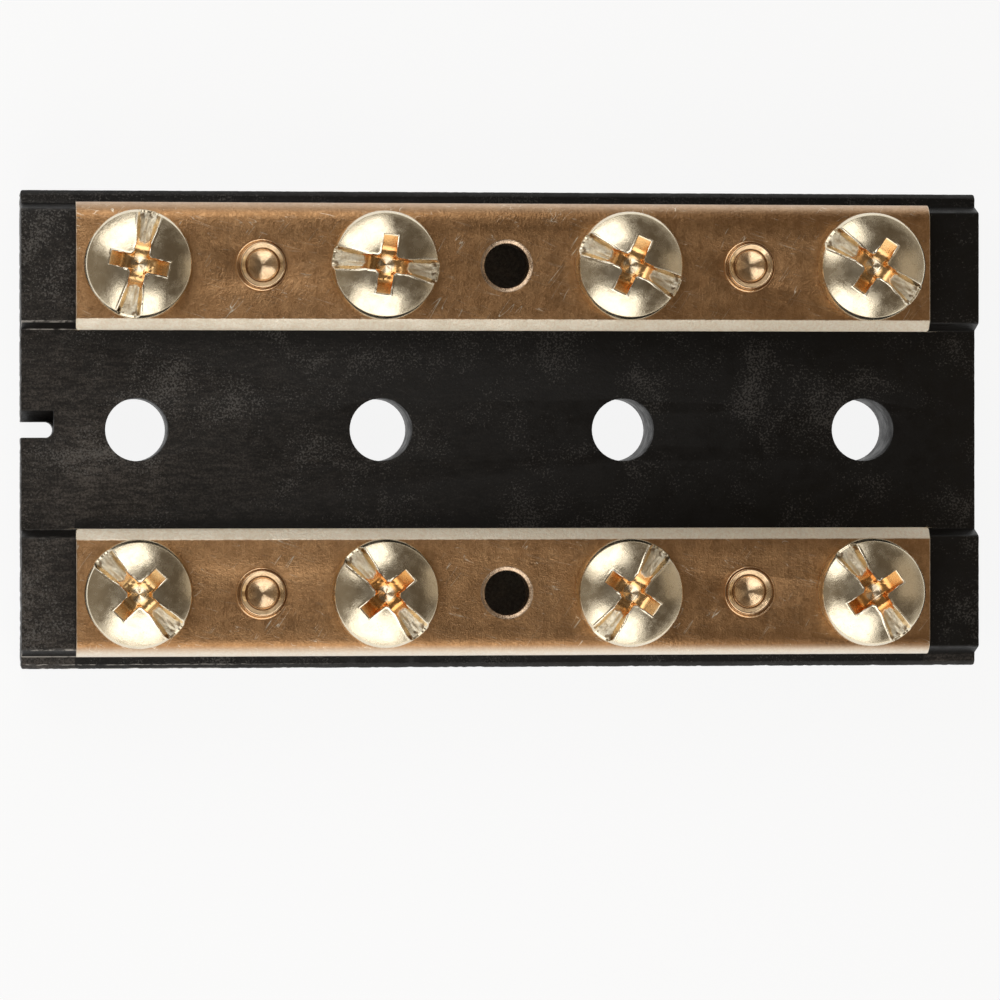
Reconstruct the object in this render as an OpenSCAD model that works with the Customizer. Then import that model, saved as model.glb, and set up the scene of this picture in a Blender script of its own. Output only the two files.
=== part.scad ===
// Terminal block: a moulded base with two formed bus bars, their terminal screws and rivets.
// The origin is the middle of the underside, X runs along the bars and Z is up. Sizes are in millimetres.

/* [Rows] */
// Distance between neighbouring screws of a row
pitch = 19.05; // [15:0.05:26]
// Distance between the two rows
row_gap = 25.4; // [21:0.1:36]

/* [Base] */
// Height of the floor between the rails
floor_h = 6.35; // [5.8:0.05:10]
// Width of the ledge outside each rail
ledge_w = 1; // [0.6:0.1:4]
// Chamfer along the top edge of each ledge
ledge_chamfer = 0.35; // [0.1:0.05:0.5]
// Radius of the base's upright corners
corner_r = 0.15; // [0.1:0.05:1]
// Width of a rail at the floor
rail_w = 9.8; // [8.5:0.1:12]
// Height of a rail above the floor
rail_h = 1.7; // [1:0.05:2.5]
// Slope of a rail's sides, measured across
rail_draft = 0.5; // [0.1:0.05:1]
// Chamfer along the top edges of a rail
rail_chamfer = 0.12; // [0.05:0.01:0.3]
// Length of rail left bare past each end of its bus bar
rail_end = 4.2; // [2.5:0.05:8]
// Height of the ridge on a rail that carries the bar
ridge_h = 0.8; // [0.65:0.05:1.5]
// Distance from the end of the bar to the end of the ridge
ridge_inset = 0.5; // [0.2:0.05:1.5]

/* [Base holes] */
// Diameter of the four mounting holes
mount_d = 4.9; // [3:0.1:6]
// Length of the notch in the left end
notch_l = 2.55; // [1.5:0.05:4]
// Width of the notch
notch_w = 1.25; // [0.8:0.05:2]
// Width of the sloped flank beside the notch
notch_flank_w = 0.85; // [0.4:0.05:1.5]
// Depth of the sloped flank
notch_flank_h = 2.2; // [1:0.1:4]

/* [Bus bars] */
// Distance from the middle of a row to the outside of the bent edge
bar_out = 4.9; // [4.7:0.05:6.5]
// Distance from the middle of a row to the edge of the folded lip
bar_in = 5.05; // [4.75:0.05:6.5]
// Thickness of the bar's sheet
bar_t = 0.8; // [0.5:0.05:0.9]
// Length of bar past the centre of the last screw
bar_end = 4.775; // [4.3:0.025:8]
// Outer radius of the bent edge
bend_r = 1.4; // [0.95:0.05:1.45]
// Gap between the bent edge and the rail below it
bend_gap = 0.15; // [0.05:0.01:0.2]
// Width of the folded lip, seen from above
lip_w = 0.87; // [0.5:0.01:1.2]
// Drop of the folded lip over that width
lip_drop = 0.7; // [0.5:0.01:0.8]
// Radius of the lip's corners, seen from above
bar_corner_r = 0.25; // [0.1:0.05:0.5]
// Clearance between a bar's bent edges and the ridge inside them
bar_gap = 0.12; // [0.05:0.01:0.2]

/* [Bar holes] */
// Diameter of the open tapped hole in the middle of a bar
tap_d = 3.45; // [2.5:0.05:4]
// Outer diameter of the collar drawn down round each tapped hole
collar_d = 5.3; // [5:0.05:6]
// Drop of a collar below the sheet
collar_drop = 1.4; // [0.8:0.05:2]
// Width of the countersink at the mouth of a tapped hole
mouth_w = 0.28; // [0.1:0.01:0.45]
// Depth of that countersink
mouth_h = 0.14; // [0.05:0.01:0.3]
// Clearance between a collar and its pocket in the base
pocket_gap = 0.15; // [0.1:0.05:0.3]

/* [Screws] */
// Diameter over the thread
thread_d = 4.1; // [3:0.05:4.5]
// Clearance between the thread and its bar
thread_gap = 0.05; // [0.02:0.01:0.1]
// Length of a screw under its head
screw_l = 6.35; // [4.5:0.05:7]
// Chamfer at a screw's tip
tip_chamfer = 0.45; // [0.2:0.05:0.8]
// Free depth below a screw's tip
tip_room = 0.5; // [0.3:0.05:1]
// Diameter of a screw head where it meets the bar
head_d = 8.45; // [7:0.05:9]
// Width that the head's sloped side takes off all round
head_side_w = 0.25; // [0.05:0.01:0.4]
// Height of the head's sloped side
rim_h = 1.7; // [0.9:0.05:2]
// Height of the dome above that side
dome_h = 1.25; // [0.8:0.05:2]
// Width of the slot's floor at the middle of the head
slot_w = 0.8; // [0.2:0.05:1.2]
// Width that the slot's sloped walls add at the crown
slot_draft = 0.3; // [0.1:0.05:1.2]
// Half angle by which the slot widens towards the rim
slot_flare = 8.5; // [2:0.5:15]
// Depth of the slot below the crown
slot_depth = 1.5; // [0.8:0.05:1.7]
// Span of the cross recess at the crown
cross_span = 5.1; // [3.5:0.1:6]
// Span of the cross recess at its floor
cross_floor = 2.6; // [1:0.1:3.2]
// Width of an arm of the cross recess
cross_w = 1.2; // [0.8:0.05:1.6]
// Depth of the cross recess below the crown
cross_depth = 1.75; // [1.4:0.05:2.4]
// Depth of the cone that the middle of the cross recess ends in
cross_point = 0.3; // [0.1:0.05:0.5]

/* [Rivets] */
// Diameter of a rivet's shank
rivet_d = 2.5; // [2:0.05:3]
// Clearance round a rivet's shank
rivet_gap = 0.04; // [0.02:0.01:0.1]
// Diameter of the rolled end on the bar
roll_d = 4; // [3.6:0.05:5]
// Thickness of the rolled end's outer lip
roll_t = 0.18; // [0.15:0.01:0.3]
// Radius of the bead inside that lip
bead_r = 0.23; // [0.15:0.01:0.3]
// Distance from the edge of the lip to the middle of the bead
bead_inset = 0.46; // [0.36:0.01:0.6]
// Radius of the hollow in the rolled end
cup_r = 1.15; // [0.9:0.01:1.24]
// Depth of the hollow below the top of the bar
cup_depth = 0.35; // [0.2:0.05:1.2]
// Diameter of the rivet's lower head
foot_d = 4.6; // [3.6:0.1:5.5]
// Thickness of the lower head
foot_h = 0.9; // [0.5:0.05:1.3]
// Depth of the recess that takes the lower head
foot_recess = 1.5; // [1.35:0.05:2.5]
// Clearance round the lower head
foot_gap = 0.3; // [0.1:0.05:0.5]

/* [Hidden] */
$fn = 64;
cut = 1; // how far a cutting shape runs past the face it opens

// Places along a row, in pitches from the middle
screw_places = [-1.5, -0.5, 0.5, 1.5];
rivet_places = [-1, 1];
rivet_sides = ["left", "right"];
tapped_places = concat(screw_places, [0]);

// Turn of each screw's slot, as it was left when last tightened
back_turns = [78, -8, -25, -34.5];
front_turns = [-45, -50, 55, -56];

bar_l = (len(screw_places) - 1) * pitch + 2 * bar_end;
base_l = bar_l + 2 * rail_end;
base_w = row_gap + rail_w + 2 * ledge_w;
rail_top = floor_h + rail_h;
seat_z = rail_top + ridge_h;
bar_top = seat_z + bar_t;

// The lip's underside leaves the seat inside the fold line by half the fold's angle
lip_angle = atan2(lip_drop, lip_w);
fold_y = bar_in - lip_w;
lip_root_y = fold_y - bar_t * tan(lip_angle / 2);
ridge_in = lip_root_y - bar_gap;
ridge_out = bar_out - bend_r - bar_gap;

pocket_d = collar_d + 2 * pocket_gap;
pocket_z = bar_top - screw_l - tip_room;
head_h = rim_h + dome_h;
dome_d = head_d - 2 * head_side_w;
dome_r = (pow(dome_d / 2, 2) + pow(dome_h, 2)) / (2 * dome_h);

// Repeats its children along a row
module along(places) {
    for (p = places) translate([p * pitch, 0, 0]) children();
}

// Sets its children on the front row (-1) or turned round on the back row (1)
module on_row(side) {
    translate([0, side * row_gap / 2, 0]) rotate(side > 0 ? 180 : 0) children();
}

module on_both_rows() {
    for (side = [-1, 1]) on_row(side) children();
}

// A rectangle with round corners, centred
module round_rect(l, w, r) {
    square([l - 2 * r, w], center = true);
    square([l, w - 2 * r], center = true);
    for (x = [-1, 1], y = [-1, 1]) translate([x * (l / 2 - r), y * (w / 2 - r)]) circle(r);
}

// Runs a section, drawn across Y and up Z, for a length along X about the middle
module run_x(l) {
    rotate([90, 0, 90]) linear_extrude(l, center = true) children();
}

module floor_section() {
    side = base_w / 2;
    shoulder = side - ledge_chamfer;
    polygon([[-side, 0], [side, 0], [side, floor_h - ledge_chamfer], [shoulder, floor_h],
             [-shoulder, floor_h], [-side, floor_h - ledge_chamfer]]);
}

module floor_body() {
    intersection() {
        run_x(base_l) floor_section();
        linear_extrude(floor_h) round_rect(base_l, base_w, corner_r);
    }
}

// Half of a rail's section, from the floor up its sloped side and over the chamfer
module half_rail_section() {
    foot = rail_w / 2;
    edge = foot - rail_draft;
    polygon([[0, -cut], [foot, -cut], [foot, 0],
             [edge, rail_h - rail_chamfer], [edge - rail_chamfer, rail_h], [0, rail_h]]);
}

// One rail, from end to end of the base, with the ridge that a bar drops over
module rail() {
    translate([0, 0, floor_h]) {
        run_x(base_l) {
            half_rail_section();
            mirror([1, 0]) half_rail_section();
        }
        run_x(bar_l - 2 * ridge_inset) translate([-ridge_out, 0])
            square([ridge_out + ridge_in, rail_h + ridge_h]);
    }
}

module notch() {
    run = notch_l - notch_w / 2;
    translate([-base_l / 2, 0, 0]) {
        translate([-cut, -notch_w / 2, -cut]) cube([run + cut, notch_w, floor_h + 2 * cut]);
        translate([run, 0, -cut]) cylinder(d = notch_w, h = floor_h + 2 * cut);
        translate([notch_l / 2, 0, floor_h]) run_x(notch_l)
            polygon([[0, 0], [notch_w / 2 + notch_flank_w, 0],
                     [notch_w / 2, -notch_flank_h], [0, -notch_flank_h]]);
    }
}

module rivet_hole() {
    translate([0, 0, -cut]) cylinder(d = rivet_d + 2 * rivet_gap, h = bar_top + 2 * cut);
}

module base() {
    color("#24221f") difference() {
        union() {
            floor_body();
            on_both_rows() rail();
        }
        along(screw_places) translate([0, 0, -cut]) cylinder(d = mount_d, h = floor_h + 2 * cut);
        on_both_rows() {
            along(tapped_places) translate([0, 0, pocket_z])
                cylinder(d = pocket_d, h = seat_z - pocket_z + cut);
            along(rivet_places) {
                rivet_hole();
                translate([0, 0, -cut]) cylinder(d = foot_d + 2 * foot_gap, h = foot_recess + cut);
            }
        }
        notch();
    }
}

// The bar's section from its bent outer edge (left) to its folded lip (right), with the seat at Z 0
module bar_section() {
    outer = -bar_out;
    bend_end = bend_gap - ridge_h;
    lip_edge = [bar_in - bar_t * sin(lip_angle), bar_t - lip_drop - bar_t * cos(lip_angle)];
    bend = [outer + bend_r, bar_t - bend_r];
    polygon([[bend.x, bar_t], [fold_y, bar_t], [bar_in, bar_t - lip_drop],
             lip_edge, [lip_root_y, 0], [bend.x, 0]]);
    translate([outer, bend_end]) square([bar_t, bend.y - bend_end]);
    intersection() {
        translate(bend) difference() {
            circle(bend_r);
            circle(bend_r - bar_t);
        }
        translate([outer, bend.y]) square(bend_r);
    }
}

// A hole down through a collar, countersunk at its mouth
module tapped_hole(d) {
    r = d / 2;
    translate([0, 0, bar_t]) rotate_extrude()
        polygon([[0, -bar_t - collar_drop - cut], [r, -bar_t - collar_drop - cut], [r, -mouth_h],
                 [r + mouth_w, 0], [r + mouth_w, cut], [0, cut]]);
}

module bus_bar() {
    color("#8a6a45") translate([0, 0, seat_z]) difference() {
        union() {
            intersection() {
                run_x(bar_l) bar_section();
                translate([0, 0, -seat_z]) linear_extrude(bar_top) {
                    translate([0, (bar_in - bar_out) / 2]) round_rect(bar_l, bar_in + bar_out, bar_corner_r);
                    translate([-bar_l / 2, -bar_out]) square([bar_l, bar_out]);
                }
            }
            along(tapped_places) translate([0, 0, -collar_drop])
                cylinder(d = collar_d, h = collar_drop + bar_t / 2);
        }
        along(screw_places) tapped_hole(thread_d + 2 * thread_gap);
        tapped_hole(tap_d);
        along(rivet_places) translate([0, 0, -seat_z]) rivet_hole();
    }
}

// Half of a head's section: a sloped side below a dome
module head_section() {
    polygon([[0, 0], [head_d / 2, 0], [dome_d / 2, rim_h], [0, rim_h]]);
    intersection() {
        translate([0, head_h - dome_r]) circle(dome_r, $fn = 128);
        square([dome_d / 2, head_h]);
    }
}

// All that lies on one side of a slot's sloped wall, above the slot's floor
module beside_wall() {
    low = slot_w / 2;
    run_x(3 * head_d) translate([0, head_h - slot_depth])
        polygon([[-head_d, 0], [low, 0], [low + slot_draft, 2 * slot_depth], [-head_d, 2 * slot_depth]]);
}

// The slot, each half of which widens from the middle of the head to the rim
module slot_cut() {
    for (a = [0, 180]) rotate(a) intersection() {
        rotate(slot_flare) beside_wall();
        rotate(-slot_flare) mirror([0, 1, 0]) beside_wall();
    }
}

// One pair of arms of the cross recess, tapering to its floor
module cross_arms() {
    slope = (cross_span - cross_floor) / 2;
    top = cross_span / 2 + slope * cut / cross_depth;
    rotate([90, 0, 0]) linear_extrude(cross_w, center = true) translate([0, head_h])
        polygon([[-top, cut], [top, cut], [cross_floor / 2, -cross_depth], [-cross_floor / 2, -cross_depth]]);
}

// The cone at the middle of the cross recess, as wide as the arms leave room for
module cross_cone() {
    r = 0.66 * cross_w;
    translate([0, 0, head_h - cross_depth]) rotate_extrude()
        polygon([[0, -cross_point], [r, 0], [r, cut / 10], [0, cut / 10]]);
}

module terminal_screw() {
    color("#c9b98c") {
        difference() {
            rotate_extrude() head_section();
            slot_cut();
            for (a = [0, 90]) rotate(a) cross_arms();
            cross_cone();
        }
        rotate_extrude() polygon([[0, -screw_l], [thread_d / 2 - tip_chamfer, -screw_l],
            [thread_d / 2, tip_chamfer - screw_l], [thread_d / 2, 0], [0, 0]]);
    }
}

// A tubular rivet, with its rolled end on the bar and its lower head in the base
module rivet() {
    edge = roll_d / 2;
    foot_z = foot_recess - foot_h;
    color("#b07a4a") rotate_extrude() difference() {
        union() {
            translate([0, foot_z]) square([foot_d / 2, foot_h]);
            translate([0, foot_z]) square([rivet_d / 2, bar_top + roll_t - foot_z]);
            translate([0, bar_top]) square([edge - roll_t / 2, roll_t]);
            translate([edge - roll_t / 2, bar_top + roll_t / 2]) circle(roll_t / 2);
            translate([edge - bead_inset, bar_top]) intersection() {
                translate([0, roll_t]) circle(bead_r);
                translate([-bead_r, 0]) square(2 * bead_r + roll_t);
            }
        }
        translate([0, bar_top + roll_t + bead_r]) scale([cup_r, cup_depth + roll_t + bead_r]) circle(1);
    }
}

module place_screw(side, turns, i) {
    translate([screw_places[i] * pitch, side * row_gap / 2, bar_top]) rotate(turns[i]) terminal_screw();
}

module place_rivet(side, i) {
    translate([rivet_places[i] * pitch, side * row_gap / 2, 0]) rivet();
}

base();
on_row(1) bus_bar();  // back_bus_bar
on_row(-1) bus_bar();  // front_bus_bar
for (i = [0 : len(screw_places) - 1]) {
    place_screw(1, back_turns, i);
    place_screw(-1, front_turns, i);
}
for (i = [0 : len(rivet_places) - 1]) {
    place_rivet(1, i);
    place_rivet(-1, i);
}
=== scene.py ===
import math

import bmesh
import bpy
import numpy as np
from mathutils import Matrix, Vector, noise


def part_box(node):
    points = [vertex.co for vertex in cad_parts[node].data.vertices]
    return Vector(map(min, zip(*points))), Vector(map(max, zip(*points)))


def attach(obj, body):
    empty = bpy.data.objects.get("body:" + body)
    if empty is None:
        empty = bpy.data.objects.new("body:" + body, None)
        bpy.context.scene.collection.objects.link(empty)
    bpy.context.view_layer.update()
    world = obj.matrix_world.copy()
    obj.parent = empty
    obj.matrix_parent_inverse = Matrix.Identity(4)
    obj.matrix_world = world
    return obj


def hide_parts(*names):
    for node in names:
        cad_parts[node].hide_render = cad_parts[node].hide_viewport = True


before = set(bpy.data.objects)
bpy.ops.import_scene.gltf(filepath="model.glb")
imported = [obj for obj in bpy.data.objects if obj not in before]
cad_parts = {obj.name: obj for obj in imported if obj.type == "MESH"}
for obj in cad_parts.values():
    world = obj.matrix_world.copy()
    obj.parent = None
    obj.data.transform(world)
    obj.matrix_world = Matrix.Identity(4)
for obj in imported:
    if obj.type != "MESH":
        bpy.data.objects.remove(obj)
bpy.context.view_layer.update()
scene = bpy.context.scene
mm = 0.001


def middleOf(node):
    low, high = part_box(node)
    return (low + high) / 2


# where things are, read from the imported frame
bars = {"back": "back_bus_bar", "front": "front_bus_bar"}
barLow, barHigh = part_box(bars["front"])
baseLow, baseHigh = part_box("base")
barTop = barHigh.z
lipY = abs(barHigh.y)                     # where the folded lips end, from the middle of the base
bendY = abs(barLow.y)                     # where the bent edges end
rowY = abs(middleOf("front_screw_1").y)   # the line of each bar's holes


# camera, fitted to the photograph's view: nearly straight down, leaning a little towards +X
cameraRig = {
    "lens": 190.44,                   # in mm, on a sensor that is this wide
    "sensor": 36,
    "target": (-0.19, -5.503, 6.35),  # the point at the middle of the frame, in mm
    "distance": 414.12,               # from that point, in mm
    "leanX": 6.115,                   # degrees
    "leanY": -0.325,
    "roll": -0.034,
    "nearest": 10 * mm,               # what is closer isn't shown
}


def aimCamera(rig):
    sideX = math.sin(math.radians(rig["leanX"]))
    sideY = math.sin(math.radians(rig["leanY"]))
    forward = Vector((sideX, sideY, -math.sqrt(1 - sideX ** 2 - sideY ** 2)))
    right = forward.cross(Vector((0, 1, 0))).normalized()
    turn = Matrix((right, right.cross(forward), -forward)).transposed().to_4x4()
    roll = Matrix.Rotation(math.radians(rig["roll"]), 4, "Z")
    eye = (Vector(rig["target"]) - forward * rig["distance"]) * mm
    data = bpy.data.cameras.new("viewCamera")
    data.lens = rig["lens"]
    data.sensor_width = rig["sensor"]
    data.clip_start = rig["nearest"]
    camera = bpy.data.objects.new("viewCamera", data)
    camera.matrix_world = Matrix.Translation(eye) @ turn @ roll
    scene.collection.objects.link(camera)
    scene.camera = camera


aimCamera(cameraRig)
print("camera aimed")


# short ways to write node trees
def put(tree, kind, inputs=None, **settings):
    made = tree.nodes.new(kind)
    for name, value in settings.items():
        setattr(made, name, value)
    for key, value in (inputs or {}).items():
        if isinstance(value, bpy.types.NodeSocket):
            tree.links.new(value, made.inputs[key])
        else:
            made.inputs[key].default_value = value
    return made


# one operation on a value, or on any number of them in turn
def calc(tree, operation, *values):
    if len(values) == 1:
        return put(tree, "ShaderNodeMath", {0: values[0]}, operation=operation).outputs[0]
    result = values[0]
    for value in values[1:]:
        result = put(tree, "ShaderNodeMath", {0: result, 1: value}, operation=operation).outputs[0]
    return result


def product(tree, *values):
    return values[0] if len(values) == 1 else calc(tree, "MULTIPLY", *values)


def minus(tree, a, b):
    return calc(tree, "SUBTRACT", a, b)


def apart(tree, a, b):
    return calc(tree, "ABSOLUTE", minus(tree, a, b))


def ramp(tree, value, low, high, toLow=0.0, toHigh=1.0, soft=True):
    kind = "SMOOTHSTEP" if soft else "LINEAR"
    inputs = {0: value, 1: low, 2: high, 3: toLow, 4: toHigh}
    return put(tree, "ShaderNodeMapRange", inputs, interpolation_type=kind).outputs[0]


# lays coats over a colour, each as much as its masks say; colours are names in the look, or sockets
def paint(tree, look, under, *coats):
    colour = look.get(under, under)
    for over, *masks in coats:
        inputs = {0: product(tree, *masks), 6: colour, 7: look.get(over, over)}
        colour = put(tree, "ShaderNodeMix", inputs, data_type="RGBA").outputs[2]
    return colour


def grain(tree, place, scale, detail=3, rough=0.6, bend=0):
    inputs = {"Vector": place, "Scale": scale, "Detail": detail, "Roughness": rough, "Distortion": bend}
    return put(tree, "ShaderNodeTexNoise", inputs).outputs[0]


def scaled(tree, vector, amounts):
    return put(tree, "ShaderNodeVectorMath", {0: vector, 1: amounts}, operation="MULTIPLY").outputs[0]


def stretch(tree, place, amounts, turn=0.0):
    turned = put(tree, "ShaderNodeVectorRotate", {"Vector": place, "Angle": turn}, rotation_type="Z_AXIS")
    return scaled(tree, turned.outputs[0], amounts)


def axes(tree, vector):
    return put(tree, "ShaderNodeSeparateXYZ", {0: vector}).outputs


def distance(tree, a, b):
    both = put(tree, "ShaderNodeCombineXYZ", {0: a, 1: b}).outputs[0]
    return put(tree, "ShaderNodeVectorMath", {0: both}, operation="LENGTH").outputs["Value"]


# one value on the front half of the object and another on the back half
def frontBack(tree, y, front, back):
    return ramp(tree, y, -1 * mm, 1 * mm, front, back)


# shared surface effects, each a group that takes a place and some values, and gives out masks or heights
def newGroup(name, takes, gives):
    group = bpy.data.node_groups.new(name, "ShaderNodeTree")
    for label, value in {"Place": (0, 0, 0), **takes}.items():
        kind = "NodeSocketVector" if isinstance(value, tuple) else "NodeSocketFloat"
        group.interface.new_socket(label, in_out="INPUT", socket_type=kind).default_value = value
    for label in gives:
        group.interface.new_socket(label, in_out="OUTPUT", socket_type="NodeSocketFloat")
    return group, put(group, "NodeGroupInput").outputs, put(group, "NodeGroupOutput").inputs


def makeDustGroup():
    group, given, out = newGroup(
        "dustSpecks", {"Speck Scale": 4000, "Patch Scale": 200, "Cover": 0.3}, ["Mask"])
    fine = grain(group, given["Place"], given["Speck Scale"], detail=2, rough=0.7)
    patches = grain(group, given["Place"], given["Patch Scale"], detail=4, rough=0.65, bend=0.6)
    lift = product(group, minus(group, patches, 0.5), 0.9)  # specks gather in patches
    least = minus(group, 0.86, product(group, given["Cover"], 0.5))
    mask = ramp(group, calc(group, "ADD", fine, lift), least, calc(group, "ADD", least, 0.16))
    group.links.new(mask, out["Mask"])
    return group


def makeScratchGroup():
    group, given, out = newGroup("hairScratches", {"Turn": 0, "Fineness": 900, "Share": 0.3}, ["Mask"])
    drawn = stretch(group, given["Place"], (0.07, 1.0, 1.0), given["Turn"])
    lines = apart(group, grain(group, drawn, given["Fineness"], detail=1, rough=0.4), 0.5)
    thin = ramp(group, lines, 0.0, 0.007, 1.0, 0.0)
    patches = grain(group, given["Place"], product(group, given["Fineness"], 0.32), detail=1, rough=0.5)
    least = minus(group, 0.75, product(group, given["Share"], 0.4))
    shown = ramp(group, patches, least, calc(group, "ADD", least, 0.06))  # short, in some places only
    group.links.new(product(group, thin, shown), out["Mask"])
    return group


def makeBrushGroup():
    group, given, out = newGroup("brushLines", {"Stretch": (9000, 300, 300)}, ["Height", "Streaks"])
    drawn = scaled(group, given["Place"], given["Stretch"])
    group.links.new(grain(group, drawn, 1.0, rough=0.7), out["Height"])
    group.links.new(ramp(group, grain(group, drawn, 0.22), 0.3, 0.7), out["Streaks"])
    return group


dustGroup = makeDustGroup()
scratchGroup = makeScratchGroup()
brushGroup = makeBrushGroup()


def useGroup(tree, group, inputs):
    return put(tree, "ShaderNodeGroup", inputs, node_tree=group).outputs


def specks(tree, place, size, patch, cover):
    inputs = {"Place": place, "Speck Scale": size, "Patch Scale": patch, "Cover": cover}
    return useGroup(tree, dustGroup, inputs)["Mask"]


def scratches(tree, place, turn, fineness, share):
    inputs = {"Place": place, "Turn": turn, "Fineness": fineness, "Share": share}
    return useGroup(tree, scratchGroup, inputs)["Mask"]


def newFinish(name, constants):
    finish = bpy.data.materials.new(name)
    finish.use_nodes = True
    shader = finish.node_tree.nodes["Principled BSDF"]
    for socket, value in constants.items():
        shader.inputs[socket].default_value = value
    return finish, finish.node_tree, shader


def objectPlace(tree):
    return put(tree, "ShaderNodeTexCoord").outputs["Object"]


def attribute(tree, name):
    return put(tree, "ShaderNodeAttribute", attribute_name=name).outputs["Fac"]


def raised(tree, height, depth, strength=1.0, under=None):
    inputs = {"Height": height, "Distance": depth, "Strength": strength}
    if under is not None:
        inputs["Normal"] = under
    return put(tree, "ShaderNodeBump", inputs).outputs[0]


def dress(tree, shader, colour, rough, normal):
    tree.links.new(colour, shader.inputs["Base Color"])
    tree.links.new(rough, shader.inputs["Roughness"])
    tree.links.new(normal, shader.inputs["Normal"])


# the base's moulding: matt black with a worn grey film, dust and scuffs, thicker towards the left end, where
# the film also paints in the light falling from the left; painted light and shade on the ledges, walls,
# pockets and beside the bars, and a painted highlight on front-facing edges
mouldingLook = {
    "black": (0.0034, 0.0027, 0.0022, 1),
    "film": (0.098, 0.085, 0.074, 1),
    "dust": (0.2, 0.19, 0.178, 1),
    "crumb": (0.3, 0.28, 0.25, 1),
    "scuff": (0.075, 0.068, 0.06, 1),
    "edge": (0.06, 0.056, 0.052, 1),
    # pale on the edges that face the front: burrs, and a painted highlight where the front lamp catches them
    "burr": (0.42, 0.4, 0.37, 1),
    # pale dust in the pockets, made paler as painted light where little light reaches
    "pocket": (0.45, 0.42, 0.38, 1),
    "wearAndLeftLightTo": 15 * mm,                 # the film, partly wear and partly painted light from the left, thins out up to here
    "wearAndLeftLightShare": (1.12, 0.2),          # from the left end to there
    "wearAndLeftLightPower": 2.4,
    "frontToBackLight": (1.75, 0.4),          # from the front edge to the back edge, a painted light stronger in front
    "frontLedgeLight": 0.8,                 # more film on the front ledge, painted light where the front lamp falls
    "backLedgeLight": 0.8,                  # the share of it on the back ledge, a painted shade
    "shadowBandW": 1.2 * mm,                 # a painted shadow: the band beside each bar kept clear of film
    "shadowBandShare": (0.92, 0.45),         # how dark that painted shadow is, front and back
    "patchAt": (-31.5 * mm, -4 * mm),  # a greyer patch near the left end
    "patchCore": 0.5 * mm,
    "patchR": 6 * mm,
    "pocketR": 2.85 * mm,              # under the empty middle holes
    "pocketZ": 4 * mm,
    "soft": 0.2 * mm,                  # how soft the borders of these are
    "gloss": 0.32,
    "rough": (0.4, 0.6),
    "pitDepth": 0.03 * mm,
    "waveDepth": 0.06 * mm,
}


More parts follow.
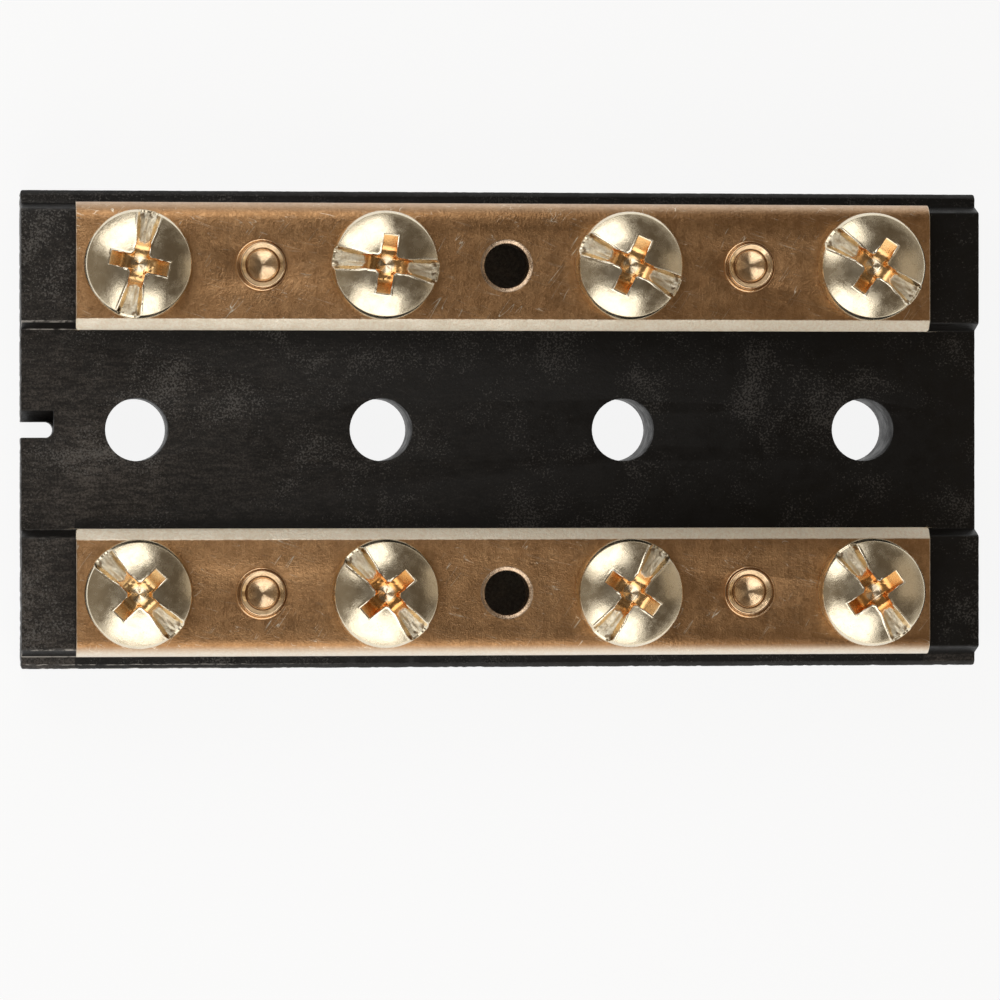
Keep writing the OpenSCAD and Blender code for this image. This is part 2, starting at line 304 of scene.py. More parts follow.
def makeMoulding(look):
    finish, tree, shader = newFinish("blackMoulding", {"Specular IOR Level": look["gloss"]})
    place = objectPlace(tree)
    x, y, z = axes(tree, place)
    offX, offY = calc(tree, "ABSOLUTE", x), calc(tree, "ABSOLUTE", y)
    soft = look["soft"]

    # where the film lies: more to the left and the front, as wear and as painted light from there; none on
    # walls, as less dust and as painted shade; and little close beside the bars, as a painted shadow
    # painted light: the film thickens towards the left end, standing in for light from the left as well as
    # wear
    worn = ramp(tree, x, baseLow.x, look["wearAndLeftLightTo"], *look["wearAndLeftLightShare"], soft=False)
    worn = calc(tree, "POWER", worn, look["wearAndLeftLightPower"])
    # painted light and shade: more film towards the front and on the front ledge, less on the back ledge
    side = product(tree, ramp(tree, y, baseLow.y, baseHigh.y, *look["frontToBackLight"], soft=False),
                   ramp(tree, y, bendY, bendY + soft, 1.0, look["backLedgeLight"]))
    ledge = ramp(tree, y, -bendY - soft, -bendY, look["frontLedgeLight"], 0.0)
    # painted shadow of the bars' lips: the film is taken off in a band beside each bar
    barShadow = product(tree, ramp(tree, offY, lipY - look["shadowBandW"], lipY - soft),
                     ramp(tree, offX, barHigh.x, barHigh.x + soft / 2, 1.0, 0.0),
                     frontBack(tree, y, *look["shadowBandShare"]))
    # walls are kept bare black: less dust settles there, and the black also paints in the shade they stand in
    level = minus(tree, 1.0, attribute(tree, "steep"))
    patchX, patchY = look["patchAt"]
    offPatch = distance(tree, minus(tree, x, patchX), minus(tree, y, patchY))
    patch = ramp(tree, offPatch, look["patchCore"], look["patchR"], 1.0, 0.0)
    lying = product(tree, calc(tree, "ADD", worn, patch, ledge), side, level, minus(tree, 1.0, barShadow))

    # its pattern: soft clouds, faint streaks along the base and fine speckle
    clouds = ramp(tree, grain(tree, place, 110, detail=4, rough=0.62, bend=0.6), 0.3, 0.72, 0.5, 1.0)
    drawn = stretch(tree, place, (0.28, 1.0, 1.0))
    streaks = ramp(tree, grain(tree, drawn, 2700, rough=0.7), 0.36, 0.66, 0.3, 1.0)
    speckle = ramp(tree, grain(tree, place, 5200, rough=0.8), 0.36, 0.7, 0.15, 1.0)
    film = product(tree, lying, clouds, streaks, speckle)

    # what else is on it: dust, crumbs, scuffs, worn edges, pale dust in the pockets brightened as painted
    # light, and a painted highlight on edges facing the front
    dust = specks(tree, place, 6000, 170, 0.58)
    crumbs = specks(tree, place, 2600, 420, 0.03)
    scuffs = scratches(tree, place, 0.5, 1900, 0.5)
    wipes = scratches(tree, place, 2.2, 900, 0.3)
    # painted light: pale dust brightens the pocket floors under the middle holes
    offHole = distance(tree, x, minus(tree, offY, rowY))
    pocket = product(tree, ramp(tree, offHole, look["pocketR"], look["pocketR"] + soft / 2, 1.0, 0.0),
                     ramp(tree, z, look["pocketZ"], look["pocketZ"] + soft, 1.0, 0.0),
                     ramp(tree, speckle, 0.0, 1.0, 0.5, 1.0))
    chips = ramp(tree, grain(tree, place, 1700), 0.5, 0.66)
    # painted highlight: pale on the broken edges facing the front lamp near the left end, as well as burrs
    burrsAndGlints = product(tree, attribute(tree, "glint"), ramp(tree, grain(tree, place, 1100), 0.4, 0.6),
                    ramp(tree, worn, 0.3, 0.9), ramp(tree, offY, lipY - 2 * mm, lipY - 1 * mm))

    colour = paint(
        tree, look, "black", ("film", film), ("dust", dust, level, ramp(tree, worn, 0.0, 1.0, 0.26, 0.5)),
        ("scuff", scuffs, worn, 0.5), ("scuff", wipes, worn, 0.4), ("crumb", crumbs, level, 0.8),
        ("pocket", pocket), ("edge", attribute(tree, "edge"), chips, worn), ("burr", burrsAndGlints))
    rough = ramp(tree, grain(tree, place, 900), 0.3, 0.7, *look["rough"])
    pits = raised(tree, grain(tree, place, 4200, detail=4, rough=0.7), look["pitDepth"], 0.9)
    waves = raised(tree, grain(tree, place, 420, detail=2), look["waveDepth"], 0.5, pits)
    dress(tree, shader, colour, rough, waves)
    return finish


# the bars' bronze: brushed across, stained brown on top, rubbed pale on the folded lip, bend and hole mouths,
# with a painted highlight on the bends and a painted shade band just inside them
bronzeLook = {
    "bronze": (0.74, 0.445, 0.225, 1),
    "stain": (0.37, 0.195, 0.083, 1),
    "pit": (0.16, 0.08, 0.035, 1),
    "rubbed": (0.98, 0.93, 0.81, 1),
    "scratch": (0.97, 0.88, 0.72, 1),
    "lipW": 0.87 * mm,
    "lipSoft": 0.03 * mm,
    "bendW": 0.95 * mm,
    "bendSoft": 0.1 * mm,
    "bendRubAndHighlight": (0.85, 0.25),  # how pale the bends are, front and back: rubbed, and a painted highlight of their sheen
    "bendShadeW": 1.9 * mm,       # painted shade: a browner band just inside each bend
    "bendShadeShare": (0.6, 0.3),
    "mouthR": 2.03 * mm,
    "mouthSoft": 0.05 * mm,
    "mouthShare": 0.35,
    "brush": (7000, 900, 900),  # lines per metre along the bar, across it and up
    "rough": (0.3, 0.46),
    "lipRough": 0.25,           # added on the lips
    "mouthShine": 0.3,          # taken off in the mouths
    "brushDepth": 0.014 * mm,
    "dentDepth": 0.05 * mm,
    "fleckDepth": 0.014 * mm,
}


def makeBronze(look):
    finish, tree, shader = newFinish("brushedBronze", {"Metallic": 1})
    place = objectPlace(tree)
    x, y = axes(tree, place)[:2]
    offY = calc(tree, "ABSOLUTE", y)
    lipEnd, bendStart = lipY + look["lipW"], bendY - look["bendW"]
    lip = ramp(tree, offY, lipEnd - look["lipSoft"], lipEnd, 1.0, 0.0)
    # pale bends: rubbed, and a painted highlight for the sheen they throw, stronger in front
    bend = product(tree, ramp(tree, offY, bendStart, bendY - look["bendSoft"]),
                   frontBack(tree, y, *look["bendRubAndHighlight"]))
    # painted shade: a browner band inside each bend darkens the bright reflection there
    bendShade = product(tree, ramp(tree, offY, bendY - look["bendShadeW"], bendStart),
                      frontBack(tree, y, *look["bendShadeShare"]))
    offHole = distance(tree, x, minus(tree, offY, rowY))
    mouth = ramp(tree, offHole, look["mouthR"], look["mouthR"] + look["mouthSoft"], look["mouthShare"], 0.0)

    brush = useGroup(tree, brushGroup, {"Place": place, "Stretch": look["brush"]})
    stains = ramp(tree, grain(tree, place, 260, detail=5, rough=0.75, bend=0.6), 0.38, 0.75)
    mottle = ramp(tree, grain(tree, place, 1500, detail=4, rough=0.75, bend=0.3), 0.3, 0.72)
    flecks = ramp(tree, grain(tree, place, 4200, rough=0.8), 0.36, 0.68)
    pits = specks(tree, place, 2900, 300, 0.1)
    nicks = scratches(tree, place, -0.95, 1500, 0.42)
    hairs = scratches(tree, place, 0.3, 2300, 0.62)
    worn = product(tree, attribute(tree, "edge"), ramp(tree, mottle, 0.2, 0.8, 0.8, 0.35))

    pale = paint(tree, look, "rubbed", ("bronze", flecks, 0.22))
    colour = paint(
        tree, look, "bronze", ("stain", stains, 0.5), ("stain", brush["Streaks"], 0.35),
        ("stain", mottle, 0.5), ("stain", flecks, 0.55), ("pit", pits, 0.85), ("stain", bendShade),
        (pale, calc(tree, "MAXIMUM", lip, bend, mouth)),
        ("scratch", calc(tree, "MAXIMUM", nicks, product(tree, hairs, 0.6), worn)))
    rough = ramp(tree, grain(tree, place, 900, detail=4, rough=0.7), 0.3, 0.7, *look["rough"])
    rough = minus(tree, rough, product(tree, mouth, look["mouthShine"]))
    rough = calc(tree, "ADD", rough, product(tree, lip, look["lipRough"]))
    lines = raised(tree, brush["Height"], look["brushDepth"])
    dents = raised(tree, grain(tree, place, 420), look["dentDepth"], 0.45, lines)
    dress(tree, shader, colour, rough, raised(tree, flecks, look["fleckDepth"], 0.9, dents))
    return finish


# the screws' plating: a pale gold soft mirror, amber in the cross recess, rough and pale on the slot's floor,
# and pale lines along the burrs as a painted highlight
platingLook = {
    "plate": (0.88, 0.785, 0.6, 1),
    "smudge": (0.58, 0.49, 0.33, 1),
    "amber": (0.97, 0.67, 0.33, 1),
    "orange": (0.9, 0.46, 0.15, 1),
    "slot": (1.0, 0.94, 0.78, 1),
    "streak": (0.56, 0.38, 0.18, 1),
    "wall": (0.97, 0.73, 0.42, 1),
    "torn": (0.2, 0.12, 0.05, 1),
    # pale lines along the burrs of slot and cross: a painted highlight
    "edge": (1.0, 0.95, 0.83, 1),
    "rough": (0.17, 0.3),
    "slotRough": 0.26,  # added on the slot's floor
    "peelDepth": 0.008 * mm,
    "dentDepth": 0.018 * mm,
    "crustDepth": 0.035 * mm,
}


def makePlating(look):
    finish, tree, shader = newFinish("yellowPlating", {"Metallic": 1})
    place = objectPlace(tree)
    names = ("recess", "slot", "streak", "wall", "torn", "edge", "tint")
    recess, slot, streak, wall, torn, edge, tint = (attribute(tree, name) for name in names)
    smudges = ramp(tree, grain(tree, place, 800, detail=5, rough=0.75, bend=0.5), 0.46, 0.8)
    pepper = specks(tree, place, 8000, 700, 0.5)
    crusty = ramp(tree, grain(tree, place, 2200, detail=4, rough=0.75), 0.36, 0.64)

    floor = paint(tree, look, "slot", ("smudge", crusty, 0.2), ("streak", streak, 0.4))
    sides = paint(tree, look, "wall", ("streak", streak, 0.5))
    amber = paint(tree, look, "amber", ("orange", tint))
    colour = paint(
        tree, look, "plate", ("smudge", smudges, 0.6), ("smudge", pepper, 0.45), (floor, slot), (sides, wall),
        ("torn", torn, 0.8), (amber, recess), ("edge", edge, 0.85))
    rough = ramp(tree, grain(tree, place, 1200), 0.3, 0.7, *look["rough"])
    rough = calc(tree, "ADD", rough, product(tree, slot, look["slotRough"]))
    peel = raised(tree, grain(tree, place, 6500, rough=0.7), look["peelDepth"], 0.8)
    dents = raised(tree, grain(tree, place, 1500, rough=0.65), look["dentDepth"], 0.6, peel)
    crust = product(tree, minus(tree, crusty, 0.5), slot)
    dress(tree, shader, colour, rough, raised(tree, crust, look["crustDepth"], 1.0, dents))
    return finish


# the rivets' copper, bright where the rolling tool rubbed it, with turning marks in the cup and painted shade
# in the groove and at the step
copperLook = {
    "copper": (0.98, 0.73, 0.47, 1),
    # dull copper, also laid on as painted shade in the groove and at the step
    "dull": (0.5, 0.27, 0.11, 1),
    "cupR": 1.15 * mm,
    "grooveR": 1.84 * mm,
    "grooveShadeW": (0.04 * mm, 0.09 * mm),  # painted shade: dull to either side, and where that ends
    "stepR": 1.27 * mm,
    # painted shade at the step, the same way
    "stepShadeW": (0.07 * mm, 0.12 * mm),
    "ringGap": 0.085 * mm,
    "ringDepth": 0.0035 * mm,
    "peelDepth": 0.03 * mm,
    "rough": (0.11, 0.22),
}


def makeCopper(look):
    finish, tree, shader = newFinish("rolledCopper", {"Metallic": 1})
    place = objectPlace(tree)
    reach = attribute(tree, "reach")
    cup = ramp(tree, reach, look["cupR"], look["cupR"] * 1.06, 1.0, 0.0)
    # painted shade: the dull colour darkens the groove and the step
    grooveShade = ramp(tree, apart(tree, reach, look["grooveR"]), *look["grooveShadeW"], 0.6, 0.0)
    step = ramp(tree, apart(tree, reach, look["stepR"]), *look["stepShadeW"], 0.75, 0.0)
    dull = ramp(tree, grain(tree, place, 1300, detail=4, rough=0.7, bend=0.4), 0.45, 0.75)
    pepper = specks(tree, place, 6000, 900, 0.25)
    colour = paint(tree, look, "copper", ("dull", dull, 0.4), ("dull", pepper, 0.5),
                   ("dull", calc(tree, "MAXIMUM", grooveShade, step)))
    rough = ramp(tree, grain(tree, place, 1600), 0.3, 0.7, *look["rough"])
    rings = calc(tree, "SINE", product(tree, reach, 2 * math.pi / look["ringGap"]))
    marks = raised(tree, product(tree, rings, cup), look["ringDepth"], 0.9)
    peel = raised(tree, grain(tree, place, 2600, rough=0.7), look["peelDepth"], 0.6, marks)
    dress(tree, shader, colour, rough, peel)
    return finish


moulding = makeMoulding(mouldingLook)
bronze = makeBronze(bronzeLook)
plating = makePlating(platingLook)
copper = makeCopper(copperLook)
print("finishes made")


def showPiece(name, mesh, finish, body, node):
    piece = bpy.data.objects.new(name, mesh)
    scene.collection.objects.link(piece)
    if finish is not None:
        mesh.materials.clear()
        mesh.materials.append(finish)
    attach(piece, body)
    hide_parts(node)


# how edges are found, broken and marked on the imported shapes
edgeForm = {
    "merge": 1e-7,              # vertices closer than this are one
    "cut": 1e-8,                # and a cut goes through those closer than this
    "flat": 0.5,                # degrees: faces that meet at less are one
    "sharp": 25,                # degrees: edges that turn by more are broken
    "segments": 2,
    "level": 0.9, "wall": 0.6,  # how far up the normals of level ground and of walls point
    "glint": 0.25,              # how far to the front and up a face leans to catch the light, where the moulding paints a highlight
}


# a merged copy of a node with its edges broken; for the finish, broken faces are marked "edge", those of them
# that face the front "glint", for a painted highlight, and walls "steep"
def softenEdges(node, width, wide=None):
    shape = bmesh.new()
    shape.from_mesh(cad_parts[node].data)
    flat, limit = math.radians(edgeForm["flat"]), math.radians(edgeForm["sharp"])
    bmesh.ops.remove_doubles(shape, verts=shape.verts, dist=edgeForm["merge"])
    bmesh.ops.dissolve_limit(shape, angle_limit=flat, verts=shape.verts, edges=shape.edges)
    mark = shape.faces.layers.float.new("edge")
    steep = shape.faces.layers.float.new("steep")
    glint = shape.faces.layers.float.new("glint")

    def breakEdges(chosen, offset, segments, shown):
        sharp = [edge for edge in shape.edges
                 if edge.is_manifold and edge.calc_face_angle() > limit and chosen(edge)]
        broken = bmesh.ops.bevel(shape, geom=sharp, offset=offset, offset_type="OFFSET", segments=segments,
                                 profile=0.5, affect="EDGES", clamp_overlap=False)
        for face in broken["faces"]:
            face[mark] = shown

    if wide is not None:
        breakEdges(wide["inside"], wide["width"], wide["segments"], 0.0)
    breakEdges(lambda edge: True, width, edgeForm["segments"], 1.0)
    for face in shape.faces:
        face.normal_update()
        tilt = (edgeForm["level"] - face.normal.z) / (edgeForm["level"] - edgeForm["wall"])
        face[steep] = min(1.0, max(0.0, tilt))
        face[glint] = face[mark] * (face.normal.y < -edgeForm["glint"]) * (face.normal.z > edgeForm["glint"])
    return shape


# writes a shape into a mesh, smooth except across edges sharper than so many degrees
def closeShape(shape, mesh, sharpest):
    for face in shape.faces:
        face.smooth = True
    shape.to_mesh(mesh)
    shape.free()
    mesh.set_sharp_from_angle(angle=math.radians(sharpest))
    return mesh


# the base: its ledges and ends are nibbled along their edges, as a trimmed moulding is
baseForm = {
    "edgeWidth": 0.07 * mm,
    "nibbleStep": 0.17 * mm,
    "nibbleDepth": 0.07 * mm,
    "nibbled": {"front": 1.0, "back": 0.35, "left": 0.9, "right": 0.3},  # shares of that depth
    "nibbleLeast": 0.1,
    # share, waves per metre along the edge and up it, and seed
    "nibbleWaves": ((0.8, 2600, 700, 3.1), (0.6, 620, 300, 7.7)),
    "endShift": 0.4,       # makes the ends' nibbles differ from the ledges'
    "ledgeW": 0.95 * mm,
    "ledgeRim": 0.4 * mm,  # only this much of a ledge is nibbled
    "endW": 0.14 * mm,
    "sharpest": 30,
}


def cutStrips(shape, inside, start, stop, step, axis):
    faces = [face for face in shape.faces if all(inside(vert.co) for vert in face.verts)]
    parts = set(faces)
    for face in faces:
        parts.update(face.edges)
        parts.update(face.verts)
    parts = list(parts)
    for at in np.arange(start + step, stop, step):
        cut = bmesh.ops.bisect_plane(shape, geom=parts, dist=edgeForm["cut"],
                                     plane_co=axis * at, plane_no=axis)
        parts = cut["geom"]


def nibble(form, along, height):
    depth = form["nibbleLeast"]
    for share, waves, rise, seed in form["nibbleWaves"]:
        depth += share * noise.noise(Vector((along * waves, height * rise, seed)))
    return min(1.0, max(0.0, depth))


def makeBase(form):
    shape = softenEdges("base", form["edgeWidth"])
    ledge, rim = baseHigh.y - form["ledgeW"], baseHigh.y - form["ledgeRim"]
    end = baseHigh.x - form["endW"]
    step, depth, shares = form["nibbleStep"], form["nibbleDepth"], form["nibbled"]
    cutStrips(shape, lambda co: abs(co.y) > ledge, baseLow.x, baseHigh.x, step, Vector((1, 0, 0)))
    cutStrips(shape, lambda co: abs(co.x) > end, baseLow.y, baseHigh.y, step, Vector((0, 1, 0)))
    for vert in shape.verts:
        if abs(vert.co.y) > rim:
            most = depth * shares["front" if vert.co.y < 0 else "back"]
            vert.co.y -= math.copysign(most * nibble(form, vert.co.x, vert.co.z), vert.co.y)
        if abs(vert.co.x) > end:
            most = depth * shares["left" if vert.co.x < 0 else "right"]
            along = vert.co.y + form["endShift"]
            vert.co.x -= math.copysign(most * nibble(form, along, vert.co.z), vert.co.x)
    mesh = closeShape(shape, bpy.data.meshes.new("mouldedBase"), form["sharpest"])
    showPiece("mouldedBase", mesh, moulding, "block", "base")


makeBase(baseForm)
print("base made")


# the bus bars, with their sheared edges broken and the mouths of their empty middle holes rounded
barForm = {
    "edgeWidth": 0.045 * mm,
    "mouthR": 2.1 * mm,
    "mouthH": 0.3 * mm,
    "mouthWidth": 0.08 * mm,
    "mouthSegments": 6,
    "sharpest": 30,
}


def makeBars(form):
    def onMouth(edge):
        middle = (edge.verts[0].co + edge.verts[1].co) / 2
        offHole = math.hypot(middle.x, abs(middle.y) - rowY)
        return offHole < form["mouthR"] and middle.z > barTop - form["mouthH"]

    mouths = {"inside": onMouth, "width": form["mouthWidth"], "segments": form["mouthSegments"]}
    for row, node in bars.items():
        shape = softenEdges(node, form["edgeWidth"], mouths)
        mesh = closeShape(shape, bpy.data.meshes.new(row + "Bar"), form["sharpest"])
        showPiece(row + "Bar", mesh, bronze, "block", node)


makeBars(barForm)
print("bars made")


# a screw: a height field over the head, a sloped side, and a rolled thread, all in mm
screwForm = {
    "headR": 4.22, "domeR": 3.975, "rimH": 1.7, "domeH": 1.22,
    # the slot, whose runs are from and to a distance from the head's axis
    "slotHalfW": -0.05, "slotSpread": 0.25, "slotLean": 0.28, "slotOpen": 0.4, "openRun": (1.5, 3.9),
    "slotDepth": (0.85, 1.75), "slotRun": (1.2, 3.9), "slotCurve": 1.3, "slotRound": 0.14, "slotBowl": 0.3,
    "slotStreaks": 0.13, "slotRagged": 0.07, "raggedRun": (2.9, 3.7), "tornRun": (3.35, 3.75),
    # the cross
    "crossEnd": 2.75, "crossFloorEnd": 1.1, "crossHalfW": 0.56, "crossLean": 0.05, "crossDepth": 1.5,
    "pointDepth": 1.75, "pointSlope": 0.4, "floorSlope": 0.1, "coreHalfW": 1.35, "coreLean": 0.14,
    "pointRound": 0.03, "floorRound": 0.2, "armRound": 0.04, "coreRound": 0.06, "joinRound": 0.05,
    # the edges of both
    "edgeRound": 0.05, "burr": 0.045, "burrWidth": 0.06, "burrRun": (0.9, 1.4), "burrRim": 0.2,
    # the side: out and down from the dome's edge, then in and down from the widest part
    "shoulder": ((0.02, 0.02), (0.07, 0.1), (0.12, 0.2), (0.165, 0.31), (0.2, 0.45), (0.23, 0.7)),
    "foot": ((0, 1.1), (0, 1.42), (0.02, 1.5), (0.07, 1.57), (0.16, 1.62), (0.24, 1.7)),
    "ringGap": 0.02,
    # the thread
    "threadR": 2.05, "rootR": 1.68, "pitch": 0.794, "length": 6.35, "neck": 0.5, "tip": 0.45,
    "rootShare": 0.22, "flankShare": 0.6, "neckStart": 0.4, "neckShare": 0.3,
    "ringsPerPitch": 11, "rimPerSide": 8,
    # the head's grid: where each zone of it ends, and its number of lines
    "zones": ((0.4, 6), (0.7, 10), (1.7, 20), (2.3, 9), (2.65, 9), (3.5, 9), (3.975, 9)),
    "roundFrom": 0.5,
    "sharpest": 50,
}
# waves per mm, along the slot and across it, of what is uneven on a head
headWaves = {
    "ragged": (3.3, 3.3), "streaks": (1.1, 4.5), "burr": (2.3, 2.3),
    "long": (1.3, 7.0), "fine": (6.0, 9.0), "torn": (2.6, 4.2),
}
waveSeed = 1.7
screwTurns = {
    "back": (78, -8, -25, -34.5),
    "front": (-45, -50, 55, -56),
}
# how deep the amber of each recess is, from gold at 0 to orange at 1
screwTints = {
    "back": (0.3, 0.6, 0.45, 0.35),
    "front": (0.15, 1.0, 0.4, 0.9),
}


def softMin(a, b, reach):
    share = np.clip(0.5 + 0.5 * (b - a) / reach, 0, 1)
    return b + (a - b) * share - reach * share * (1 - share)


def softMax(a, b, reach):
    return -softMin(-a, -b, reach)


def smooth(value, low, high):
    share = np.clip((value - low) / (high - low), 0, 1)
    return share * share * (3 - 2 * share)


def uneven(x, y, name):
    wavesX, wavesY = headWaves[name]
    spots = zip(x.ravel() * wavesX, y.ravel() * wavesY)
    return np.array([noise.noise(Vector((a, b, waveSeed))) for a, b in spots]).reshape(x.shape)


def headHeights(form, x, y):
    headH = form["rimH"] + form["domeH"]
    ball = (form["domeR"] ** 2 + form["domeH"] ** 2) / (2 * form["domeH"])
    dome = headH - ball + np.sqrt(np.maximum(ball ** 2 - x ** 2 - y ** 2, 0))
    along, across, reach = np.abs(x), np.abs(y), np.hypot(x, y)

    # the slot: a floor that falls towards the rim, between steep walls that spread apart
    ragged = form["slotRagged"] * uneven(x, y, "ragged") * smooth(along, *form["raggedRun"])
    streaks = form["slotStreaks"] * uneven(x, y, "streaks")
    (inner, outer), (start, stop) = form["slotDepth"], form["slotRun"]
    fall = np.maximum((along - start) / (stop - start), 0) ** form["slotCurve"]
    slotFloor = headH - inner - (outer - inner) * fall + ragged + streaks
    opening = form["slotOpen"] * smooth(along, *form["openRun"])
    half = form["slotHalfW"] + form["slotSpread"] * along + ragged - opening * np.maximum(dome - slotFloor, 0)
    lean = form["slotLean"] + opening
    slotFloor += form["slotBowl"] * np.minimum(across, half) ** 2 / np.maximum(half, 0.1)
    wall = slotFloor + (across - half) / lean
    slot = softMax(slotFloor, wall, form["slotRound"])
    plain = softMin(dome, slot, form["edgeRound"])

    # the cross: arms with sloped ends, meeting over a cone
    crossFloor = headH - form["crossDepth"]
    cone = headH - form["pointDepth"] + form["pointSlope"] * reach
    point = softMin(cone, crossFloor + form["floorSlope"] * reach, form["pointRound"])
    slope = form["crossDepth"] / (form["crossEnd"] - form["crossFloorEnd"])
    arms, outlines = [], []
    for run, side in ((along, across), (across, along)):
        ends = crossFloor + (run - form["crossFloorEnd"]) * slope
        sides = headH + (side - form["crossHalfW"]) / form["crossLean"]
        arms.append(softMax(softMax(point, ends, form["floorRound"]), sides, form["armRound"]))
        outlines.append(np.maximum(side - form["crossHalfW"], (ends - plain) / slope))
    corner = along + across - form["coreHalfW"]
    core = softMax(point, headH + corner / form["coreLean"], form["coreRound"])
    outlines.append(corner / math.sqrt(2))
    cross = softMin(softMin(*arms, form["joinRound"]), core, form["joinRound"])

    # burrs raised beside both
    crossOff, slotOff = np.minimum.reduce(outlines), (wall - dome) * lean
    wide = form["burrWidth"]
    broken = np.clip(0.55 + 1.2 * uneven(x, y, "burr"), 0.1, 1)
    crossBurr = broken * np.exp(-((crossOff - wide) / wide) ** 2)
    slotBurr = 0.9 * np.exp(-((slotOff - wide) / wide) ** 2) * smooth(along, *form["burrRun"])
    burr = np.maximum(crossBurr, slotBurr) * smooth(form["domeR"] - reach, 0, form["burrRim"])
    height = softMin(plain + form["burr"] * burr, cross, form["edgeRound"])

    # what the finish needs to know
    sunk = np.clip((plain - height) / 0.15, 0, 1)
    bare, depth = 1 - sunk, dome - plain
    torn = smooth(along, *form["tornRun"]) * smooth(uneven(x, y, "torn"), 0.05, 0.2)
    marks = {
        "streak": np.clip(0.5 + 1.3 * uneven(x, y, "long") + 0.6 * uneven(x, y, "fine"), 0, 1),
        "torn": np.clip(depth / 0.08, 0, 1) * bare * torn,
        "recess": sunk * (0.1 + 0.9 * smooth(reach, 0.5, 0.75)),
        "slot": np.clip(depth / 0.1, 0, 1) * (wall < slotFloor) * bare,
        "wall": np.clip(depth / 0.06, 0, 1) * (wall >= slotFloor) * bare,
        # the burrs' crests, which get pale lines as a painted highlight
        "edge": np.maximum(crossBurr * (crossOff > 0), slotBurr * (slotOff > 0)) * bare,
    }
    return height, marks


def headLines(zones):
    lines = [0.0]
    for end, count in zones:
        lines += list(np.linspace(lines[-1], end, count + 1)[1:])
    half = np.array(lines)
    return np.concatenate([-half[:0:-1], half])


# the top of the head: a square grid that rounds off to the dome's circle
def makeHead(form):
    lines = headLines(form["zones"])
    u, v = np.meshgrid(lines, lines, indexing="ij")
    most = np.maximum(np.maximum(np.abs(u), np.abs(v)), 1e-9)
    corner = np.hypot(u, v) / most
    pull = np.clip((most / form["domeR"] - form["roundFrom"]) / (1 - form["roundFrom"]), 0, 1)
    scale = 1 + (1 / np.maximum(corner, 1) - 1) * pull
    x, y = u * scale, v * scale
    z, marks = headHeights(form, x, y)
    points = np.stack([x, y, z], -1).reshape(-1, 3)
    at = np.arange(u.size).reshape(u.shape)
    quads = np.stack([at[:-1, :-1], at[1:, :-1], at[1:, 1:], at[:-1, 1:]], -1).reshape(-1, 4)
    rim = np.concatenate([at[:-1, 0], at[-1, :-1], at[:0:-1, -1], at[0, :0:-1]])
    return points, [tuple(quad) for quad in quads], rim, marks


# rings down the side, from the dome's edge to the underside
def sideRings(form, edge):
    turn = edge[:, :2] / np.linalg.norm(edge[:, :2], axis=1)[:, None]
    drop = form["headR"] - form["domeR"]
    steps = list(form["shoulder"]) + [(drop - back, down) for back, down in form["foot"]]
    rings = []
    for number, (out, down) in enumerate(steps, 1):
        level = np.minimum(form["rimH"] - down, edge[:, 2] - form["ringGap"] * number)
        level = np.maximum(level, 0) if number < len(steps) else np.zeros(len(edge))
        rings.append(np.column_stack([turn * (form["domeR"] + out), level]))
    return rings


def threadRings(form, angles):
    rings = []
    for depth in np.linspace(0, form["length"], int(form["length"] / form["pitch"] * form["ringsPerPitch"])):
        phase = (depth / form["pitch"] - angles / (2 * math.pi)) % 1
        crest = np.clip((1 - np.abs(2 * phase - 1) - form["rootShare"]) / form["flankShare"], 0, 1)
        fade = np.clip((depth - form["neck"] * form["neckStart"]) / form["neck"], 0, 1)
        share = crest * fade + form["neckShare"] * (1 - fade)
        radius = form["rootR"] + (form["threadR"] - form["rootR"]) * share
        radius = np.minimum(radius, form["threadR"] - form["tip"] + (form["length"] - depth))
        circle = np.column_stack([np.cos(angles) * radius, np.sin(angles) * radius])
        rings.append(np.column_stack([circle, np.full(len(angles), -depth)]))
    return rings


def addRing(points, ring):
    start = sum(len(part) for part in points)
    points.append(ring)
    return start + np.arange(len(ring))


def stackRings(points, faces, last, rings):
    for ring in rings:
        now = addRing(points, ring)
        for k in range(len(now)):
            n = (k + 1) % len(now)
            faces.append((last[k], now[k], now[n], last[n]))
        last = now
    return last


def makeScrewMesh(form):
    head, faces, last, marks = makeHead(form)
    points, edge = [head], head[last]
    rim = stackRings(points, faces, last, sideRings(form, edge))

    # the underside narrows to the thread, which has one vertex for every few of the rim
    few = form["rimPerSide"]
    first, *others = threadRings(form, np.arctan2(edge[::few, 1], edge[::few, 0]))
    last = addRing(points, first)
    for k in range(len(last)):
        outer = [rim[(few * k + j) % len(rim)] for j in range(few + 1)]
        faces.append(tuple(outer[::-1]) + (last[k], last[(k + 1) % len(last)]))
    last = stackRings(points, faces, last, others)
    faces.append(tuple(last[::-1]))

    mesh = bpy.data.meshes.new("screwShape")
    spots = np.concatenate(points) * mm
    mesh.from_pydata(spots.tolist(), [], [tuple(map(int, face)) for face in faces])
    for name, mark in marks.items():
        values = np.concatenate([mark.ravel(), np.zeros(len(spots) - mark.size)])
        mesh.attributes.new(name, "FLOAT", "POINT").data.foreach_set("value", values)
    shape = bmesh.new()
    shape.from_mesh(mesh)
    bmesh.ops.recalc_face_normals(shape, faces=shape.faces)
    return closeShape(shape, mesh, form["sharpest"])


# short ways to write and run Geometry Nodes
def newTree(name, takes):
    tree = bpy.data.node_groups.new(name, "GeometryNodeTree")
    for label, kind in {"Geometry": "Geometry", **takes, "Place": "Vector", "Finish": "Material"}.items():
        tree.interface.new_socket(label, in_out="INPUT", socket_type="NodeSocket" + kind)
    tree.interface.new_socket("Geometry", in_out="OUTPUT", socket_type="NodeSocketGeometry")
    return tree, put(tree, "NodeGroupInput").outputs, put(tree, "NodeGroupOutput").inputs


